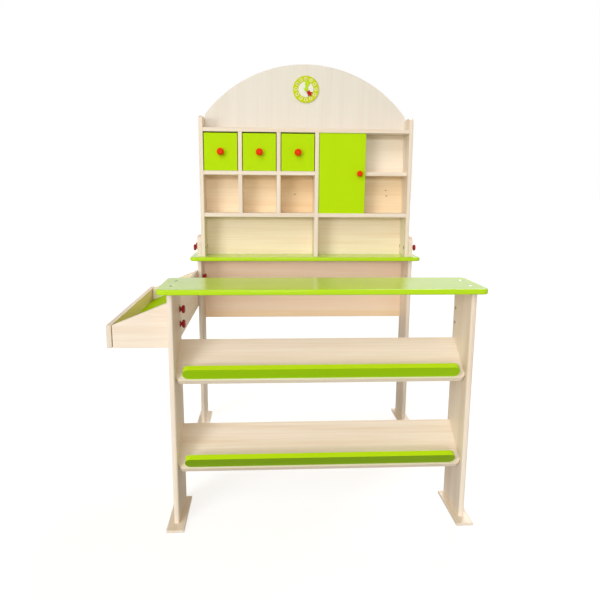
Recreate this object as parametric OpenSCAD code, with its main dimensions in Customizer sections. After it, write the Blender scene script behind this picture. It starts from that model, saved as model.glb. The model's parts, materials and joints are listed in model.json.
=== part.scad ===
// Toy market stall: a front counter with sloped display shelves, a rear table with a
// cabinet of drawers, a sliding door and a play clock, and a side tray that links the two.
// Millimetres, +Z up, the customer's side faces -Y. The origin is on the floor, under the
// middle of the whole stall.

/* [Tables] */
// Length of the counter and of the rear worktop
table_w = 700; // [620:1:800]
// Depth of the counter
counter_d = 170; // [160:1:185]
// Depth of the rear worktop
worktop_d = 150; // [140:1:170]
// Height of both tables
table_h = 540; // [480:1:640]
// Thickness of the boards
board_t = 12; // [10:0.5:13]
// Tables' ends to the outer faces of the uprights and legs
leg_inset = 20; // [14:1:26]
// Depth of the counter's uprights
upright_d = 120; // [116:1:130]
// Depth of the rear legs
leg_d = 100; // [96:1:110]
// Counter's front edge to the uprights' front edge
upright_setback = 18; // [12:1:24]
// Worktop's front edge to the rear legs' front edge
leg_setback = 25; // [18:1:30]
// Counter's front edge to the worktop's front edge
table_pitch = 572; // [520:1:640]
// Corner radius of the counter and worktop
table_corner_r = 16; // [8:1:24]
// Height of the apron between the rear legs, with its lower strip
apron_h = 196; // [120:1:240]
// Height of the apron's lower strip
apron_strip_h = 21; // [15:1:40]

/* [Feet] */
// Width of a foot
foot_w = 39; // [30:1:50]
// Thickness of a foot
foot_t = 6; // [5:0.5:10]
// Length of a foot ahead of its leg
foot_toe = 29; // [24:1:40]

/* [Display shelves] */
// Tilt of both shelves, in degrees
shelf_tilt = 35; // [28:1:38]
// Length of a shelf board down its slope
shelf_l = 118; // [100:1:124]
// Uprights' front edge to a shelf's upper front edge
shelf_setback = 8; // [7:1:14]
// Counter's top down to the upper shelf's front edge
shelf_upper_drop = 203; // [185:1:220]
// Height of the lower shelf's front edge
shelf_lower_z = 133; // [100:1:160]
// Corner radius at a shelf's front
shelf_corner_r = 12; // [6:1:16]
// Height of the rail on a shelf
rail_h = 32; // [28.5:0.5:34]
// Rail's distance from the shelf's front edge
rail_inset = 4; // [2:0.5:8]
// Rail's distance from each upright
rail_end_gap = 16; // [10:1:24]
// Corner radius at a rail's ends
rail_corner_r = 14; // [6:0.5:14]

/* [Cabinet] */
// Worktop's front edge to the cabinet's front edge
cabinet_setback = 28; // [26:1:34]
// Depth of the cabinet
cabinet_d = 80; // [76:1:90]
// Height of the cabinet's sides
side_h = 413; // [400:1:440]
// Corner radius at the top front of a side
side_corner_r = 18; // [10:1:24]
// Height of the open row above the worktop
low_row_h = 119; // [112:1:124]
// Height of the sides above the cabinet's top board
side_rise = 34; // [28:1:40]
// Share of the cabinet's inside width that the drawer bays take
bays_share = 0.54; // [0.5:0.01:0.56]
// Thickness of the back panel
back_t = 6; // [4:0.5:8]
// Height of the arch's crown above the cabinet's sides
crown_rise = 158; // [140:1:170]
// Rise of the arch from its ends to its crown
arch_rise = 149; // [130:1:160]
// Height of the brackets that hold the cabinet
bracket_h = 61; // [54:1:70]
// Depth of a bracket
bracket_d = 86; // [80:1:90]
// Corner radius at the top of a bracket
bracket_corner_r = 22; // [12:1:26]
// Cabinet's front edge to the shelf in the right bay
bay_shelf_recess = 16; // [14:1:24]

/* [Drawers] */
// Gap at each side of a drawer
drawer_side_gap = 2; // [0.6:0.1:2.4]
// Gap above a drawer's front
drawer_top_gap = 3.5; // [2:0.1:5]
// Gap under a drawer
drawer_run_gap = 0.3; // [0.2:0.05:0.5]
// Thickness of a drawer's front
drawer_front_t = 10; // [8:0.5:12]
// Cabinet's front edge to a drawer's front
drawer_recess = 2; // [1:0.5:4]
// Thickness of a drawer's walls
drawer_wall_t = 6; // [5:0.5:8]
// Thickness of a drawer's bottom
drawer_floor_t = 4; // [3:0.5:6]
// Drawer walls' distance below the top of the front
drawer_wall_drop = 14; // [8:1:24]
// Gap behind a closed drawer
drawer_end_gap = 5; // [3:0.5:8]

/* [Door] */
// Share of the right bay's width that the sliding door covers
door_share = 0.52; // [0.5:0.01:0.54]
// Thickness of the sliding door
door_t = 7; // [5:0.5:8]
// Cabinet's front edge to the door
door_recess = 4; // [3:0.5:5]
// Depth of the door's lower groove
groove_low_d = 3; // [2:0.5:4]
// Depth of the door's upper groove
groove_high_d = 6; // [5:0.5:7]
// Gap around the door in its grooves
groove_gap = 0.5; // [0.3:0.1:0.8]
// Gap at the closed door's edge
door_edge_gap = 0.7; // [0.4:0.1:1.5]
// Door's edge to the axis of its knob
door_knob_inset = 18; // [14:1:24]

/* [Clock] */
// Radius of the clock's ring
ring_r = 39; // [34:1:44]
// Radius of the clock's face
face_r = 23; // [20:1:25]
// Arch's crown down to the clock's centre
clock_drop = 72; // [62:1:80]
// Thickness of the clock's ring
ring_t = 4; // [3:0.5:6]
// Thickness of the clock's face
face_t = 4; // [4:0.5:5]
// Radius of a number spot
spot_r = 5.5; // [4:0.5:5.5]
// Thickness of a number spot
spot_t = 0.6; // [0.4:0.1:1]
// Thickness of a clock hand
hand_t = 1.5; // [1.2:0.1:2]
// Length of the hour hand
hour_l = 24; // [16:0.5:24]
// Half width of the hour hand's leaf
leaf_w = 10; // [5:0.5:11]
// Pin's axis to the middle of the minute hand's star
star_l = 16.5; // [13:0.5:17]
// Radius of the minute hand's star
star_r = 10; // [7:0.5:10.5]
// Radius of a hand's hub
hub_r = 5.5; // [5:0.5:6.5]
// Radius of the clock's pin
pin_r = 3; // [2.5:0.1:3.5]
// Radius of the pin's head
pin_head_r = 4.5; // [4.2:0.1:5]
// Thickness of the pin's head
pin_head_t = 2; // [1.5:0.1:3]
// Running gap between a hand and the pin
pin_gap = 0.06; // [0.03:0.01:0.1]

/* [Side tray] */
// Reach of the tray from the uprights
tray_w = 154; // [130:1:170]
// Tables' tops down to the tray's underside
tray_drop = 154; // [140:1:170]
// Height of the tray's lip panel
lip_h = 53; // [48:1:62]
// Reach of the lip panel past the rear panel
lip_over = 26; // [10:1:40]
// Height of the tray's panels at the uprights
tray_high_h = 110; // [100:1:118]
// Depth of the tray's floor below the panels' tops
floor_drop = 36; // [28:1:40]
// Thickness of the tray's floor
floor_t = 8; // [6:0.5:10]

/* [Knobs and fasteners] */
// Radius of a drawer knob
knob_r = 10.5; // [9:0.5:12]
// Radius of the door's knob
door_knob_r = 8.75; // [8.5:0.25:9.5]
// Thickness of a drawer knob's head
knob_t = 10; // [8:0.5:11]
// Thickness of the door knob's head
door_knob_t = 8; // [7:0.5:8.5]
// Radius of a knob's neck
neck_r = 4; // [3.2:0.1:4.2]
// Length of a knob's neck
neck_l = 7; // [5:0.5:9]
// Radius of a screw knob
screw_knob_r = 9.5; // [8.5:0.5:10.5]
// Thickness of a screw knob's head
screw_knob_t = 7.5; // [6:0.5:9]
// Length of a screw knob's neck
screw_neck_l = 4.5; // [3:0.5:6]
// Radius of the flange at a screw knob's foot
screw_flange_r = 7; // [6:0.5:8]
// Thickness of the flange at a screw knob's foot
screw_flange_t = 2; // [1:0.5:2.5]
// Radius of a knob bolt
bolt_r = 3; // [2.5:0.1:3.2]
// Radius of the spare bolt holes on the right, for a second tray
spare_hole_r = 3.5; // [3.4:0.1:4]
// Length of a tray bolt inside its panel
bolt_grip = 26; // [20:1:32]
// Uprights' back edge to the tray bolts
tray_bolt_inset = 16; // [14:1:18]
// Rear legs' front edge to the tray bolts
rear_bolt_inset = 23; // [20:1:26]
// Tray's underside up to the lower tray bolt
tray_bolt_h = 55; // [52:1:57]
// Distance between the two tray bolts
tray_bolt_pitch = 34; // [30:1:36]
// Height of the cabinet bolts above the worktop
bracket_bolt_h = 26; // [20:1:30]
// Distance of a cabinet bolt from its bracket's end
bracket_bolt_inset = 14; // [12:1:18]
// Radius of a screw's head
screw_head_r = 4; // [3.5:0.1:4.2]
// Thickness of a screw's head
screw_head_t = 3; // [2:0.5:4]
// Radius of a screw's shank
screw_r = 2; // [1.8:0.1:2.4]
// Length of a screw's shank
screw_l = 40; // [30:1:50]
// Counter's edge to the nearest screws
screw_inset = 50; // [44:1:56]
// Distance between the two screws of an upright
screw_pitch = 72; // [64:1:76]
// Radius of a shelf dowel
dowel_r = 4; // [3:0.5:4.5]
// Length of a shelf dowel
dowel_l = 16; // [12:1:18]
// Gap around fasteners in their bores
bore_gap = 0.25; // [0.15:0.05:0.4]

/* [Hidden] */
$fn = 64;
// Extra length of a cut past a face
cut = 1;
// Shares of a shelf's length where its dowels sit
dowel_shares = [0.25, 0.75];
// Points of the minute hand's star, and its inner radius as a share of its outer one
star_n = 5;
star_in_share = 0.5;
// Share of the hub's width that the hand's stem has
stem_share = 0.5;
// Share of the way from the face's rim to the ring's rim where the spots sit
spot_share = 0.45;
clock_spots_n = 12;
// Directions of the hands, in degrees clockwise from the top
hour_turn = 14;
minute_turn = 138;

half_span = table_w / 2 - leg_inset;
inner_span = half_span - board_t;
under_z = table_h - board_t;
leg_h = under_z - foot_t;
toe_lead = foot_toe - upright_setback;
total_d = toe_lead + table_pitch + worktop_d;
mid_x = (half_span + tray_w - table_w / 2) / 2;
counter_y = toe_lead - total_d / 2;
worktop_y = counter_y + table_pitch;
upright_y = counter_y + upright_setback;
leg_y = worktop_y + leg_setback;
shelf_y = upright_y + shelf_setback;
rail_w = 2 * (inner_span - rail_end_gap);
shelf_upper_z = table_h - shelf_upper_drop;
apron_z = under_z - apron_h;

cabinet_y = worktop_y + cabinet_setback;
back_y = cabinet_y + cabinet_d - board_t / 2 - back_t / 2;
inner_d = back_y - cabinet_y;
cab_in = inner_span - board_t;
row_h = (side_h - side_rise - low_row_h - 3 * board_t) / 2;
crown_h = side_h + crown_rise;
clock_h = crown_h - clock_drop;
low_shelf_z = table_h + low_row_h;
open_row_z = low_shelf_z + board_t;
drawer_shelf_z = open_row_z + row_h;
drawer_row_z = drawer_shelf_z + board_t;
cab_top_z = drawer_row_z + row_h;
left_w = bays_share * 2 * cab_in;
bay_w = (left_w - 2 * board_t) / 3;
bay_pitch = bay_w + board_t;
divider_x = left_w - cab_in;
right_x = divider_x + board_t;
right_w = cab_in - right_x;
arch_r = (pow(cab_in, 2) + pow(arch_rise, 2)) / (2 * arch_rise);

drawer_y = cabinet_y + drawer_recess;
drawer_w = bay_w - 2 * drawer_side_gap;
drawer_z = drawer_row_z + drawer_run_gap;
drawer_h = row_h - drawer_run_gap - drawer_top_gap;
drawer_box_d = inner_d - drawer_recess - drawer_front_t - drawer_end_gap;
drawer_wall_h = drawer_h - drawer_wall_drop;

door_w = door_share * right_w;
door_x = right_x + door_edge_gap;
door_y = cabinet_y + door_recess;
door_z = open_row_z - groove_low_d + groove_gap;
door_lift = groove_high_d - groove_low_d;
door_h = cab_top_z - open_row_z + groove_low_d + door_lift - groove_gap;

tray_z = table_h - tray_drop;
tray_bolt_z = tray_z + tray_bolt_h;
tray_front_y = upright_y + upright_d - tray_bolt_inset - board_t / 2;
tray_back_y = leg_y + rear_bolt_inset + board_t / 2;
tray_in = half_span + tray_w - board_t;
panel_slope = (tray_high_h - lip_h) / (tray_in - half_span);
floor_low_z = tray_z + lip_h - floor_drop;
floor_high_x = half_span + board_t;
floor_high_z = floor_low_z + panel_slope * (tray_in - floor_high_x);
tray_bolt_zs = [tray_bolt_z, tray_bolt_z + tray_bolt_pitch];
tray_bolt_ys = [upright_y + upright_d - tray_bolt_inset, leg_y + rear_bolt_inset];
bracket_bolt_z = table_h + bracket_bolt_h;
bracket_bolt_ys = [cabinet_y + bracket_bolt_inset, cabinet_y + bracket_d - bracket_bolt_inset];
screw_ys = [counter_y + screw_inset, counter_y + screw_inset + screw_pitch];
screw_x = half_span - board_t / 2;
stem_w = hub_r * stem_share;
stem_y = (hub_r + pin_r) / 2;
hour_z = face_t + pin_gap;
minute_z = hour_z + hand_t + pin_gap;
pin_head_z = minute_z + hand_t + pin_gap;

lime = [0.66, 0.86, 0.02];
birch = [0.93, 0.86, 0.74];
red = [0.82, 0.12, 0.05];
deep_red = [0.6, 0.05, 0.06];
steel = [0.6, 0.6, 0.62];
white = [0.97, 0.97, 0.95];

// Shared placing and shapes

// Place a piece drawn on the right of the middle plane; side is 1 for right, -1 for left
module at_side(side) {
    translate([mid_x, 0, 0])
        mirror([side < 0 ? 1 : 0, 0, 0])
            children();
}

// A board by its low corner, measured across from the middle plane
module board(x, y, z, size) {
    translate([mid_x + x, y, z])
        cube(size);
}

// Draw a flat YZ outline and give it a thickness towards +X
module thick_x(t) {
    rotate([90, 0, 90])
        linear_extrude(t)
            children();
}

// Draw a flat XZ outline and give it a thickness towards -Y
module thick_y(t) {
    rotate([90, 0, 0])
        linear_extrude(t)
            children();
}

module bar_x(r, l) {
    rotate([0, 90, 0])
        cylinder(r = r, h = l);
}

// Rectangle with its two low corners rounded
module front_rounded(w, d, r) {
    translate([0, r])
        square([w, d - r]);
    translate([r, 0])
        square([w - 2 * r, d]);
    for (x = [r, w - r])
        translate([x, r])
            circle(r);
}

// Rectangle with all four corners rounded
module all_rounded(w, d, r) {
    front_rounded(w, d - r, r);
    translate([r, r])
        square([w - 2 * r, d - r]);
    for (x = [r, w - r])
        translate([x, d - r])
            circle(r);
}

// Rectangle with its two high corners rounded
module top_rounded(w, h, r) {
    translate([0, h])
        mirror([0, 1])
            front_rounded(w, h, r);
}

// Frame of a display shelf: +Y runs up the slope, +Z stands off the board
module shelf_frame(z) {
    translate([mid_x, shelf_y, z])
        rotate([shelf_tilt, 0, 0])
            children();
}

// Frame of the clock: +Z points at the customer, +Y up
module clock_frame() {
    translate([mid_x, back_y, table_h + clock_h])
        rotate([90, 0, 0])
            children();
}

// Round knob on a neck, its axis up +Z
module mushroom(neck_r, neck_l, head_r, head_t) {
    edge_r = head_t / 2;
    cylinder(r = neck_r, h = neck_l + edge_r);
    translate([0, 0, neck_l]) {
        cylinder(r = head_r - edge_r, h = head_t);
        rotate_extrude()
            translate([head_r - edge_r, edge_r])
                circle(edge_r);
    }
}

// Screw knob with a flange that bears on the board it clamps, its axis up +Z
module screw_knob() {
    cylinder(r = screw_flange_r, h = screw_flange_t);
    mushroom(neck_r, screw_neck_l, screw_knob_r, screw_knob_t);
}

// Fasteners, drawn with a radius and length so that their bores can share them

module shelf_dowel_rods(r) {
    for (z = [shelf_upper_z, shelf_lower_z], side = [-1, 1], share = dowel_shares)
        shelf_frame(z)
            translate([side * inner_span - dowel_l / 2, shelf_l * share, -board_t / 2])
                bar_x(r, dowel_l);
}

module counter_screw_rods(extra_r) {
    for (side = [-1, 1], y = screw_ys)
        translate([mid_x + side * screw_x, y, table_h - screw_head_t]) {
            cylinder(r = screw_head_r + extra_r, h = screw_head_t + extra_r * cut);
            translate([0, 0, -screw_l])
                cylinder(r = screw_r + extra_r, h = screw_l);
        }
}

// The tray's own bolts run close in their bores; the spare holes on the right are wider
function tray_hole_r(side) = side > 0 ? spare_hole_r : bolt_r + bore_gap;

// Tray bolts of one upright or leg, from its inner face outwards; drawn on the right
module tray_bolt_rods(y, r, l) {
    for (z = tray_bolt_zs)
        translate([inner_span, y, z])
            bar_x(r, l);
}

module bracket_bolt_rods(r, over) {
    for (y = bracket_bolt_ys)
        translate([cab_in - over, y, bracket_bolt_z])
            bar_x(r, 2 * board_t + 2 * over);
}

// Counter

module front_upright(side) {
    color(birch)
        difference() {
            at_side(side)
                difference() {
                    translate([inner_span, upright_y, foot_t])
                        cube([board_t, upright_d, leg_h]);
                    translate([-cut, 0, 0])
                        tray_bolt_rods(tray_bolt_ys[0], tray_hole_r(side), board_t + 2 * cut);
                }
            counter_screw_rods(bore_gap);
            shelf_dowel_rods(dowel_r + bore_gap);
        }
}

module front_upright_left() front_upright(-1);
module front_upright_right() front_upright(1);

// Foot under a leg that starts at y and is d deep
module foot(side, y, d) {
    color(birch)
        at_side(side)
            translate([half_span - board_t / 2 - foot_w / 2, y - foot_toe, 0])
                cube([foot_w, foot_toe + d, foot_t]);
}

module front_foot_left() foot(-1, upright_y, upright_d);
module front_foot_right() foot(1, upright_y, upright_d);

module counter_top() {
    color(lime)
        difference() {
            translate([mid_x - table_w / 2, counter_y, under_z])
                linear_extrude(board_t)
                    all_rounded(table_w, counter_d, table_corner_r);
            counter_screw_rods(bore_gap);
        }
}

module counter_screws() {
    color(birch)
        counter_screw_rods(0);
}

module display_shelf(z) {
    color(birch)
        difference() {
            shelf_frame(z)
                translate([-inner_span, 0, -board_t])
                    linear_extrude(board_t)
                        front_rounded(2 * inner_span, shelf_l, shelf_corner_r);
            shelf_dowel_rods(dowel_r + bore_gap);
        }
}

module display_shelf_upper() display_shelf(shelf_upper_z);
module display_shelf_lower() display_shelf(shelf_lower_z);

module display_rail(z) {
    color(lime)
        shelf_frame(z)
            translate([-rail_w / 2, rail_inset + board_t, 0])
                thick_y(board_t)
                    all_rounded(rail_w, rail_h, rail_corner_r);
}

module display_rail_upper() display_rail(shelf_upper_z);
module display_rail_lower() display_rail(shelf_lower_z);

module shelf_dowels() {
    color(birch)
        shelf_dowel_rods(dowel_r);
}

// Rear table

module rear_leg(side) {
    color(birch)
        at_side(side)
            difference() {
                translate([inner_span, leg_y, foot_t])
                    cube([board_t, leg_d, leg_h]);
                translate([-cut, 0, 0])
                    tray_bolt_rods(tray_bolt_ys[1], tray_hole_r(side), board_t + 2 * cut);
            }
}

module rear_leg_left() rear_leg(-1);
module rear_leg_right() rear_leg(1);
module rear_foot_left() foot(-1, leg_y, leg_d);
module rear_foot_right() foot(1, leg_y, leg_d);

// Board of the apron that starts at z
module apron_board(z, h) {
    color(birch)
        board(-inner_span, leg_y + leg_d - board_t, z, [2 * inner_span, board_t, h]);
}

module rear_apron() apron_board(apron_z + apron_strip_h, apron_h - apron_strip_h);
module rear_apron_strip() apron_board(apron_z, apron_strip_h);

module rear_worktop() {
    color(lime)
        translate([mid_x - table_w / 2, worktop_y, under_z])
            linear_extrude(board_t)
                all_rounded(table_w, worktop_d, table_corner_r);
}

// Cabinet

module bracket(side) {
    color(birch)
        at_side(side)
            difference() {
                translate([inner_span, cabinet_y, table_h])
                    thick_x(board_t)
                        top_rounded(bracket_d, bracket_h, bracket_corner_r);
                bracket_bolt_rods(bolt_r + bore_gap, cut);
            }
}

module bracket_left() bracket(-1);
module bracket_right() bracket(1);

// Side board; its front is the outline's left, so its top front corner is rounded
module cabinet_side(side) {
    color(birch)
        at_side(side)
            difference() {
                translate([cab_in, cabinet_y, table_h])
                    thick_x(board_t) {
                        square([cabinet_d, side_h - side_corner_r]);
                        translate([side_corner_r, 0])
                            square([cabinet_d - side_corner_r, side_h]);
                        translate([side_corner_r, side_h - side_corner_r])
                            circle(side_corner_r);
                    }
                bracket_bolt_rods(bolt_r + bore_gap, cut);
            }
}

module cabinet_side_left() cabinet_side(-1);
module cabinet_side_right() cabinet_side(1);

// Room that the door's edge needs in a grooved board, from x to the cabinet's right side
module door_groove(z, h) {
    board(right_x, door_y - groove_gap, z, [right_w, door_t + 2 * groove_gap, h]);
}

module cabinet_top() {
    color(birch)
        difference() {
            board(-cab_in, cabinet_y, cab_top_z, [2 * cab_in, inner_d, board_t]);
            door_groove(cab_top_z - cut, groove_high_d + cut);
        }
}

// Panel with an arch on top; the arch springs from the panel's two sides
module cabinet_back() {
    spring_h = crown_h - arch_rise;
    color(birch)
        translate([mid_x, back_y + back_t, table_h])
            thick_y(back_t) {
                translate([-cab_in, 0])
                    square([2 * cab_in, spring_h]);
                intersection() {
                    translate([-cab_in, spring_h])
                        square([2 * cab_in, arch_rise]);
                    translate([0, crown_h - arch_r])
                        circle(arch_r, $fn = 4 * $fn);
                }
            }
}

module centre_divider() {
    color(birch)
        board(divider_x, cabinet_y, table_h, [board_t, inner_d, cab_top_z - table_h]);
}

module drawer_shelf() {
    color(birch)
        board(-cab_in, cabinet_y, drawer_shelf_z, [left_w, inner_d, board_t]);
}

module lower_shelf_left() {
    color(birch)
        board(-cab_in, cabinet_y, low_shelf_z, [left_w, inner_d, board_t]);
}

module lower_shelf_right() {
    color(birch)
        difference() {
            board(right_x, cabinet_y, low_shelf_z, [right_w, inner_d, board_t]);
            door_groove(open_row_z - groove_low_d, groove_low_d + cut);
        }
}

module bay_shelf() {
    color(birch)
        board(right_x, cabinet_y + bay_shelf_recess, drawer_shelf_z,
            [right_w, inner_d - bay_shelf_recess, board_t]);
}

// Upright board after bay n of one row
module row_divider(n, z) {
    color(birch)
        board(n * bay_pitch - board_t - cab_in, cabinet_y, z, [board_t, inner_d, row_h]);
}

module drawer_divider_1() row_divider(1, drawer_row_z);
module drawer_divider_2() row_divider(2, drawer_row_z);
module lower_divider_1() row_divider(1, open_row_z);
module lower_divider_2() row_divider(2, open_row_z);

module cabinet_bolts() {
    color(steel)
        for (side = [-1, 1])
            at_side(side)
                bracket_bolt_rods(bolt_r, 0);
}

module cabinet_knobs() {
    color(deep_red)
        for (side = [-1, 1], y = bracket_bolt_ys)
            at_side(side)
                translate([half_span, y, bracket_bolt_z])
                    rotate([0, 90, 0])
                        screw_knob();
}

// Drawers, numbered from the left

// Left edge of the drawer in bay n
function drawer_x(n) = (n - 1) * bay_pitch - cab_in + drawer_side_gap;

module drawer_front(n) {
    color(lime)
        board(drawer_x(n), drawer_y, drawer_z, [drawer_w, drawer_front_t, drawer_h]);
}

module drawer_front_1() drawer_front(1);
module drawer_front_2() drawer_front(2);
module drawer_front_3() drawer_front(3);

// Open box behind a drawer's front: two walls, a back and a bottom
module drawer_box(n) {
    box_y = drawer_y + drawer_front_t;
    color(birch) {
        board(drawer_x(n), box_y, drawer_z, [drawer_w, drawer_box_d, drawer_floor_t]);
        for (x = [0, drawer_w - drawer_wall_t])
            board(drawer_x(n) + x, box_y, drawer_z, [drawer_wall_t, drawer_box_d, drawer_wall_h]);
        board(drawer_x(n), box_y + drawer_box_d - drawer_wall_t, drawer_z,
            [drawer_w, drawer_wall_t, drawer_wall_h]);
    }
}

module drawer_box_1() drawer_box(1);
module drawer_box_2() drawer_box(2);
module drawer_box_3() drawer_box(3);

module drawer_knob(n) {
    color(red)
        translate([mid_x + drawer_x(n) + drawer_w / 2, drawer_y, drawer_z + drawer_h / 2])
            rotate([90, 0, 0])
                mushroom(neck_r, neck_l, knob_r, knob_t);
}

module drawer_knob_1() drawer_knob(1);
module drawer_knob_2() drawer_knob(2);
module drawer_knob_3() drawer_knob(3);

// Sliding door

module sliding_door() {
    color(lime)
        board(door_x, door_y, door_z, [door_w, door_t, door_h]);
}

module door_knob() {
    color(red)
        translate([mid_x + door_x + door_w - door_knob_inset, door_y, door_z + door_h / 2])
            rotate([90, 0, 0])
                mushroom(neck_r, neck_l, door_knob_r, door_knob_t);
}

// Play clock on the arch

module clock_ring() {
    color(lime)
        clock_frame()
            difference() {
                cylinder(r = ring_r, h = ring_t);
                translate([0, 0, -cut])
                    cylinder(r = face_r, h = ring_t + 2 * cut);
            }
}

module clock_face() {
    color(white)
        clock_frame()
            difference() {
                cylinder(r = face_r - bore_gap, h = face_t);
                translate([0, 0, -cut])
                    cylinder(r = pin_r + bore_gap, h = face_t + 2 * cut);
            }
}

module clock_spots() {
    spot_ring_r = face_r + spot_share * (ring_r - face_r);
    color(white)
        clock_frame()
            for (i = [0 : clock_spots_n - 1])
                rotate([0, 0, i * 360 / clock_spots_n])
                    translate([0, spot_ring_r, ring_t])
                        cylinder(r = spot_r, h = spot_t);
}

module clock_pin() {
    color(lime)
        clock_frame() {
            cylinder(r = pin_r, h = pin_head_z + pin_head_t);
            translate([0, 0, pin_head_z])
                cylinder(r = pin_head_r, h = pin_head_t);
        }
}

// Flat hand on a round hub, turned clockwise from the top; its tip is drawn along +Y
module hand(turn, z) {
    clock_frame()
        translate([0, 0, z])
            rotate([0, 0, -turn]) {
                difference() {
                    cylinder(r = hub_r, h = hand_t);
                    translate([0, 0, -cut])
                        cylinder(r = pin_r + pin_gap, h = hand_t + 2 * cut);
                }
                linear_extrude(hand_t)
                    children();
            }
}

// Leaf that widens from the hub to a rounded end
module hour_hand() {
    color(lime)
        hand(hour_turn, hour_z)
            intersection() {
                circle(hour_l);
                polygon([[-stem_w, stem_y], [-leaf_w, hour_l], [leaf_w, hour_l],
                    [stem_w, stem_y]]);
            }
}

// Star on a stem
module minute_hand() {
    color(red)
        hand(minute_turn, minute_z) {
            translate([-stem_w, stem_y])
                square([2 * stem_w, star_l - stem_y]);
            translate([0, star_l])
                polygon([for (i = [0 : 2 * star_n - 1])
                    star_r * (i % 2 == 0 ? 1 : star_in_share)
                        * [sin(i * 180 / star_n), cos(i * 180 / star_n)]]);
        }
}

// Side tray, to the left of the left upright and leg

// End wall whose top slopes down to the lip; its outer face is at y
module tray_wall(y, bolt_y) {
    color(birch)
        difference() {
            translate([mid_x, y, 0])
                thick_y(board_t)
                    polygon([[-tray_in, tray_z], [-half_span, tray_z],
                        [-half_span, tray_z + tray_high_h], [-tray_in, tray_z + lip_h]]);
            at_side(-1)
                tray_bolt_rods(bolt_y, bolt_r + bore_gap, board_t + bolt_grip);
        }
}

module tray_front_panel() tray_wall(tray_front_y + board_t, tray_bolt_ys[0]);
module tray_rear_panel() tray_wall(tray_back_y, tray_bolt_ys[1]);

module tray_lip_panel() {
    color(birch)
        board(-tray_in - board_t, tray_front_y, tray_z,
            [board_t, tray_back_y + lip_over - tray_front_y, lip_h]);
}

// Board between the two end walls, along the stall's left side
module tray_end_panel() {
    color(birch)
        translate([mid_x, tray_back_y - board_t, 0])
            thick_y(tray_back_y - tray_front_y - 2 * board_t)
                polygon([[-floor_high_x, tray_z], [-half_span, tray_z],
                    [-half_span, tray_z + tray_high_h],
                    [-floor_high_x, floor_high_z + floor_drop]]);
}

module tray_floor() {
    color(lime)
        translate([mid_x, tray_back_y - board_t, 0])
            thick_y(tray_back_y - tray_front_y - 2 * board_t)
                polygon([[-tray_in, floor_low_z - floor_t], [-floor_high_x, floor_high_z - floor_t],
                    [-floor_high_x, floor_high_z], [-tray_in, floor_low_z]]);
}

module tray_bolts() {
    color(steel)
        at_side(-1)
            for (y = tray_bolt_ys)
                tray_bolt_rods(y, bolt_r, board_t + bolt_grip);
}

module tray_knobs() {
    color(deep_red)
        at_side(-1)
            for (y = tray_bolt_ys, z = tray_bolt_zs)
                translate([inner_span, y, z])
                    rotate([0, -90, 0])
                        screw_knob();
}

front_upright_right();
front_upright_left();
front_foot_left();
front_foot_right();
counter_top();
counter_screws();
display_shelf_upper();
display_shelf_lower();
display_rail_upper();
display_rail_lower();
shelf_dowels();
rear_leg_right();
rear_leg_left();
rear_foot_left();
rear_foot_right();
rear_apron();
rear_apron_strip();
rear_worktop();
bracket_left();
bracket_right();
cabinet_side_left();
cabinet_side_right();
cabinet_top();
cabinet_back();
centre_divider();
drawer_shelf();
lower_shelf_left();
lower_shelf_right();
bay_shelf();
drawer_divider_1();
drawer_divider_2();
lower_divider_1();
lower_divider_2();
cabinet_bolts();
cabinet_knobs();
drawer_front_1();
drawer_front_2();
drawer_front_3();
drawer_box_1();
drawer_box_2();
drawer_box_3();
drawer_knob_1();
drawer_knob_2();
drawer_knob_3();
sliding_door();
door_knob();
clock_ring();
clock_face();
clock_spots();
clock_pin();
hour_hand();
minute_hand();
tray_front_panel();
tray_rear_panel();
tray_lip_panel();
tray_end_panel();
tray_floor();
tray_bolts();
tray_knobs();
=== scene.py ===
"""Dresses the toy market stall: eased boards, birch and lacquer finishes, small fittings,
the studio and the camera. Metres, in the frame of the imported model."""
import json
import math

import bmesh
import bpy
from mathutils import Matrix, Vector


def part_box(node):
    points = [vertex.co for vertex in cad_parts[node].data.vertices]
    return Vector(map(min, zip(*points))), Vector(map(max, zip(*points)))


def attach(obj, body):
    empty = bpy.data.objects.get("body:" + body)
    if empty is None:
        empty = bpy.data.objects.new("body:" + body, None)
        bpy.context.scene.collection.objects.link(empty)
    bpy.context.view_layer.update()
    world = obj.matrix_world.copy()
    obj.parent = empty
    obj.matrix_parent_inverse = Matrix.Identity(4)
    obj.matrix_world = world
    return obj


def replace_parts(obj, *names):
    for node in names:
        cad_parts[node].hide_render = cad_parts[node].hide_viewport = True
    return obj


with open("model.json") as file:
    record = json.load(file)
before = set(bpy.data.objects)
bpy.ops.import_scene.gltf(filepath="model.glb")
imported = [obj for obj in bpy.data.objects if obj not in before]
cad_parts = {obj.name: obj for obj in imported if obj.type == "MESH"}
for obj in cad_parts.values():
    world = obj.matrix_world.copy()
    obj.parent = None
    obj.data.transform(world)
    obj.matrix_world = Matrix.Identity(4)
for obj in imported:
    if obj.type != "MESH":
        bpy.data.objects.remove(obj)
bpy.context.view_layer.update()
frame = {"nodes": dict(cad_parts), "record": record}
nodes = frame["nodes"]
body_of = {node: body for body, held in frame["record"]["behaviour"]["bodies"].items()
           for node in held}
boxes = {name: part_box(name) for name in nodes}

MM = 0.001


def mid(name):
    """The middle of a node's box."""
    low, high = boxes[name]
    return (low + high) / 2


def add_object(name, data):
    made = bpy.data.objects.new(name, data)
    bpy.context.scene.collection.objects.link(made)
    return made


# Shader graph helpers


def place_node(tree, kind, **settings):
    """Adds a node; a setting names one of its properties, or else one of its inputs."""
    made = tree.nodes.new(kind)
    for name, value in settings.items():
        if hasattr(made, name):
            setattr(made, name, value)
        else:
            made.inputs[name.replace("_", " ")].default_value = value
    return made


def feed(tree, socket, value):
    """Links a socket to another node's output, or sets it to a plain value."""
    if hasattr(value, "is_output"):
        tree.links.new(value, socket)
    else:
        socket.default_value = value


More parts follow.
